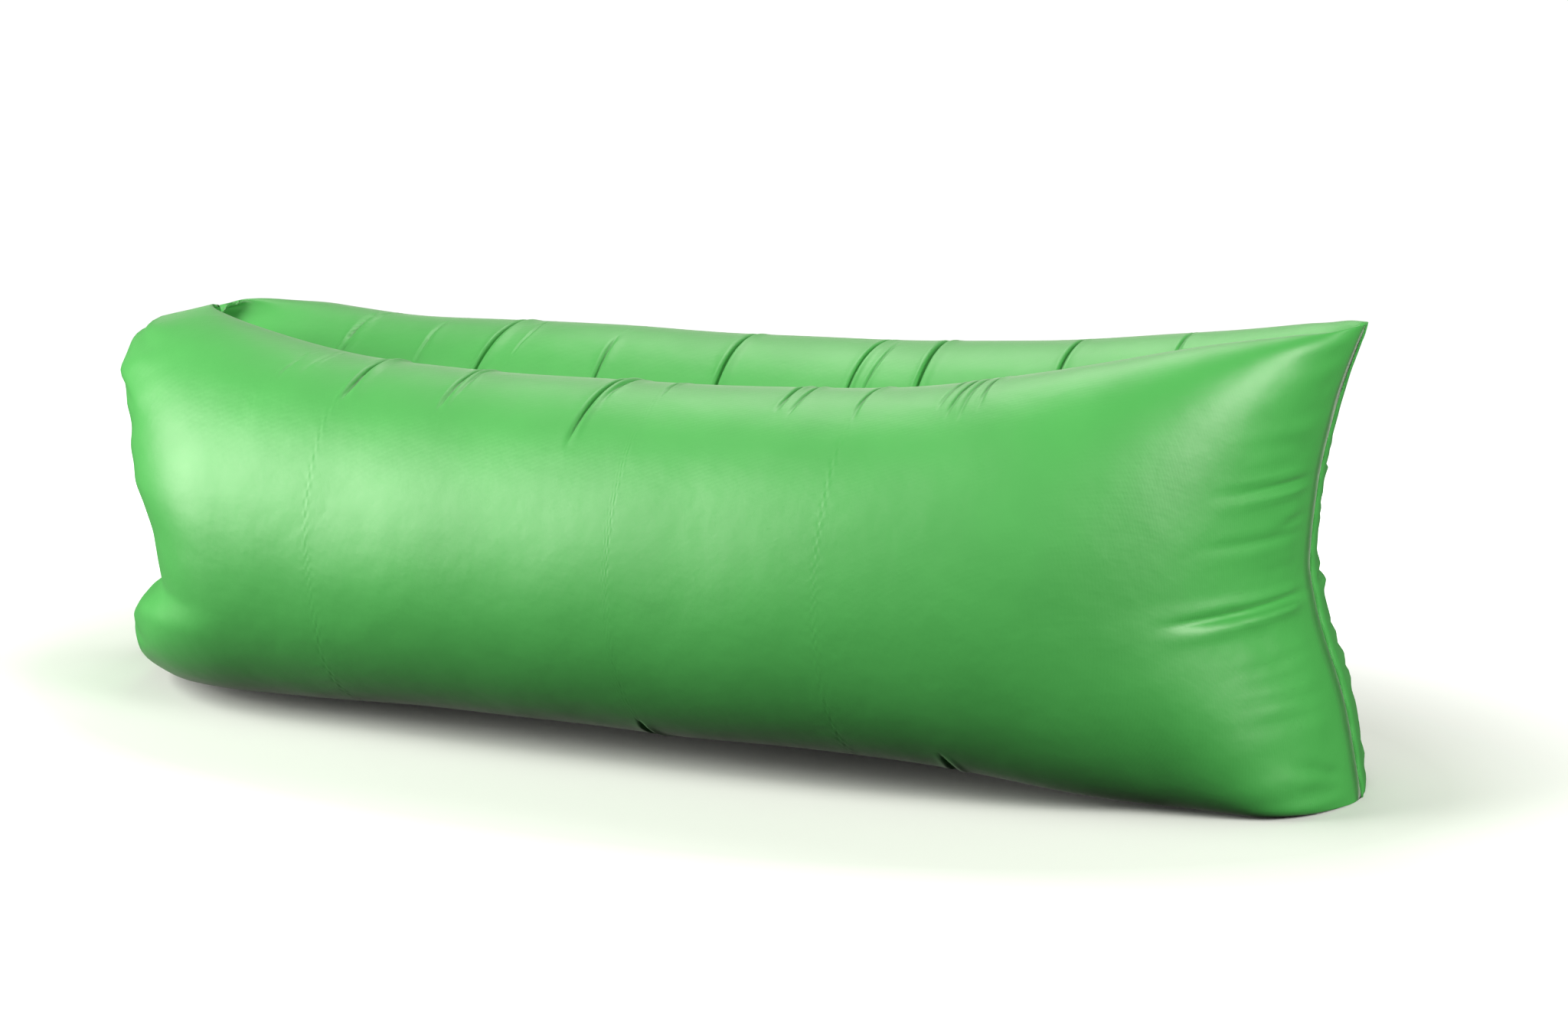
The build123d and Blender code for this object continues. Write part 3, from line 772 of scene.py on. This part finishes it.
def procedural(name, colour, second, roughness, patch_scale, layers, sheen=0.0, weave=None, gloss=0.5):
    """A material with a patchy colour and roughness, and a bump of noise layers and, for cloth, a weave.
    Layers are (scale, depth in metres, detail); weave is (scale, depth)."""
    material = bpy.data.materials.new(name)
    material.use_nodes = True
    tree = material.node_tree
    nodes, links = tree.nodes, tree.links
    shader = nodes["Principled BSDF"]
    shader.inputs["Sheen Weight"].default_value = sheen
    shader.inputs["Sheen Roughness"].default_value = 0.35
    shader.inputs["Specular IOR Level"].default_value = gloss
    place = nodes.new("ShaderNodeTexCoord").outputs["Object"]
    patches = nodes.new("ShaderNodeTexNoise")
    patches.inputs["Scale"].default_value = patch_scale
    patches.inputs["Detail"].default_value = 4
    links.new(place, patches.inputs["Vector"])
    ramp = nodes.new("ShaderNodeValToRGB")
    ramp.color_ramp.elements[0].position, ramp.color_ramp.elements[1].position = 0.35, 0.65
    ramp.color_ramp.elements[0].color, ramp.color_ramp.elements[1].color = colour, second
    links.new(patches.outputs["Fac"], ramp.inputs["Fac"])
    links.new(ramp.outputs["Color"], shader.inputs["Base Color"])
    rough = nodes.new("ShaderNodeMapRange")
    rough.inputs["To Min"].default_value, rough.inputs["To Max"].default_value = roughness
    links.new(patches.outputs["Fac"], rough.inputs["Value"])
    links.new(rough.outputs["Result"], shader.inputs["Roughness"])
    bumps = []
    for scale, depth, detail in layers:
        noise = nodes.new("ShaderNodeTexNoise")
        noise.inputs["Scale"].default_value = scale
        noise.inputs["Detail"].default_value = detail
        links.new(place, noise.inputs["Vector"])
        bumps.append((noise.outputs["Fac"], depth))
    if weave:
        scale, depth = weave
        for direction in ("X", "Z"):
            threads = nodes.new("ShaderNodeTexWave")
            threads.bands_direction = direction
            threads.inputs["Scale"].default_value = scale
            links.new(place, threads.inputs["Vector"])
            bumps.append((threads.outputs["Fac"], depth))
    before = None
    for height, depth in bumps:
        bump = nodes.new("ShaderNodeBump")
        bump.inputs["Distance"].default_value = depth
        links.new(height, bump.inputs["Height"])
        if before:
            links.new(before, bump.inputs["Normal"])
        before = bump.outputs["Normal"]
    links.new(before, shader.inputs["Normal"])
    return material


nylon = procedural(
    "satin_nylon",
    NYLON,
    NYLON_DEEP,
    (0.44, 0.52),
    7,
    [(9, 0.003, 2), (60, 0.0004, 3)],
    sheen=0.22,
    weave=(300, 0.00004),
    gloss=0.75,
)
binding = procedural(
    "binding_tape", BINDING_GREEN, NYLON_DEEP, (0.5, 0.6), 20, [(120, 0.0003, 3)], 0.0, (260, 0.0001)
)
film = procedural("liner_film", FILM, FILM_DULL, (0.2, 0.35), 12, [(30, 0.001, 3)])
webbing = procedural(
    "black_webbing", BLACK, BLACK_WORN, (0.6, 0.75), 60, [(400, 0.0001, 2)], 0.2, (260, 0.0001)
)
thread = procedural("thread", BLACK, BLACK_WORN, (0.5, 0.65), 90, [(900, 0.0001, 2)], 0.1)
green_thread = procedural("green_thread", NYLON_DEEP, BINDING_GREEN, (0.5, 0.65), 90, [(900, 0.0001, 2)], 0.1)
moulded = procedural(
    "moulded_plastic", BLACK, BLACK_WORN, (0.38, 0.5), 50, [(900, 0.00006, 3), (60, 0.0001, 2)]
)
strip = procedural("strip_plastic", STRIP, STRIP_DULL, (0.35, 0.5), 40, [(500, 0.00005, 3)])


def finish_piece(piece, material, slot_name, *nodes, fill=None, body="lounger"):
    """Gives a piece its material and its body, and hides the CAD nodes that it stands for. Its slot name is not used.
    """
    piece.data.materials.clear()
    piece.data.materials.append(material)
    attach(piece, body)
    if nodes:
        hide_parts(*nodes)


for side, place in ((-1, "front"), (1, "back")):
    grid = tube_surface(side)
    cloth = tube_mesh(f"{place}_tube_cloth", grid)
    finish_piece(cloth, nylon, "shell_nylon", f"{place}_tube_shell", fill=0.95)
    liner = make_liner(f"{place}_liner_film", grid)
    finish_piece(liner, film, "liner_film", f"{place}_air_liner", fill=1.0)

finish_piece(make_roll(), nylon, "shell_nylon", "rolled_mouth", fill=0.5)
finish_piece(make_collar(), nylon, "shell_nylon", "mouth_collar", fill=0.3)
band, stitches = make_binding()
finish_piece(band, binding, "binding_tape", "foot_end_binding")
finish_piece(stitches, green_thread, "thread")
finish_piece(make_seam_tape(), binding, "binding_tape", "centre_seam_tape")
tabs, tacks = make_straps()
for tab, node in zip(tabs, ("upper_buckle_webbing", "lower_buckle_webbing")):
    finish_piece(tab, webbing, "webbing", node)
finish_piece(tacks, thread, "thread", "bar_tack_stitching")

CAD_FINISHES = {
    "buckle_socket": moulded,
    "buckle_plug": moulded,
    "buckle_prong_inner": moulded,
    "buckle_prong_outer": moulded,
    "lip_strip_inner": strip,
    "lip_strip_outer": strip,
}
for node, material in CAD_FINISHES.items():
    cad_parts[node].data.materials.clear()
    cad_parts[node].data.materials.append(material)

# Floor, light and camera
FLOOR_RADIUS = 4.0
FLOOR_SIDES = 96
FLOOR_OVAL = (0.95, 1.75, 0.0)  # one over the half length and half width of the oval that doesn't glow
FLOOR_GLOW = ((1.0, 1.9), (0.0, 0.9))  # distances from the middle, in ovals, and how much it glows at each
FLOOR_COLOUR = (0.82, 0.87, 0.86, 1)
WORLD_STRENGTH = 1.03
WARM = (1.0, 0.97, 0.89)
LIGHTS = (
    # name, place, size, watts
    ("top_back", (-0.4, 1.2, 2.6), 1.6, 38.0),
    ("left_key", (-2.6, -2.3, 2.4), 2.0, 135.0),
    ("left_low", (-3.2, -2.6, 0.9), 1.6, 130.0),
    ("right_key", (3.2, -1.3, 1.7), 1.3, 120.0),
    ("front_fill", (0.4, -4.5, 1.6), 3.0, 15.0),
)
AIM = Vector((0.0, 0.0, 0.30))


def make_stage():
    """A pale floor, a white world and soft lights."""
    turns = np.linspace(0, 2 * math.pi, FLOOR_SIDES, endpoint=False)
    rim = [(FLOOR_RADIUS * math.cos(t), FLOOR_RADIUS * math.sin(t), 0) for t in turns]
    floor = new_mesh("floor", rim, [tuple(range(FLOOR_SIDES))])
    paint = procedural("pale_floor", FLOOR_COLOUR, FLOOR_COLOUR, (0.85, 0.95), 3, [(20, 0.0001, 2)])
    nodes, links = paint.node_tree.nodes, paint.node_tree.links
    distance = nodes.new("ShaderNodeVectorMath")
    distance.operation = "LENGTH"
    oval = nodes.new("ShaderNodeVectorMath")
    oval.operation = "MULTIPLY"
    oval.inputs[1].default_value = FLOOR_OVAL
    links.new(nodes["Texture Coordinate"].outputs["Object"], oval.inputs[0])
    links.new(oval.outputs["Vector"], distance.inputs[0])
    glow = nodes.new("ShaderNodeMapRange")
    (glow.inputs["From Min"].default_value, glow.inputs["From Max"].default_value) = FLOOR_GLOW[0]
    (glow.inputs["To Min"].default_value, glow.inputs["To Max"].default_value) = FLOOR_GLOW[1]
    links.new(distance.outputs["Value"], glow.inputs["Value"])
    nodes["Principled BSDF"].inputs["Emission Color"].default_value = (1, 1, 1, 1)
    links.new(glow.outputs["Result"], nodes["Principled BSDF"].inputs["Emission Strength"])
    floor.data.materials.append(paint)
    floor.visible_diffuse = False
    floor.visible_glossy = False
    world = bpy.data.worlds.new("studio")
    world.use_nodes = True
    nodes = world.node_tree.nodes
    nodes["Background"].inputs["Color"].default_value = (1, 1, 1, 1)
    nodes["Background"].inputs["Strength"].default_value = WORLD_STRENGTH
    world.cycles_visibility.diffuse = False
    world.cycles_visibility.glossy = False
    bpy.context.scene.world = world
    for name, place, size, watts in LIGHTS:
        data = bpy.data.lights.new(name, "AREA")
        data.shape, data.size, data.energy, data.color = "SQUARE", size, watts, WARM
        lamp = bpy.data.objects.new(name, data)
        lamp.location = place
        lamp.rotation_euler = (AIM - Vector(place)).to_track_quat("-Z", "Y").to_euler()
        bpy.context.scene.collection.objects.link(lamp)


def make_camera():
    data = bpy.data.cameras.new("camera")
    data.lens, data.sensor_width = CAMERA_LENS, SENSOR_WIDTH
    camera = bpy.data.objects.new("camera", data)
    camera.location = CAMERA_PLACE
    camera.rotation_euler = (math.radians(90 - CAMERA_PITCH), 0, math.radians(CAMERA_AZIMUTH))
    bpy.context.scene.collection.objects.link(camera)
    bpy.context.scene.camera = camera


make_stage()
make_camera()
bpy.context.scene.view_settings.view_transform = "Standard"

bpy.context.view_layer.update()
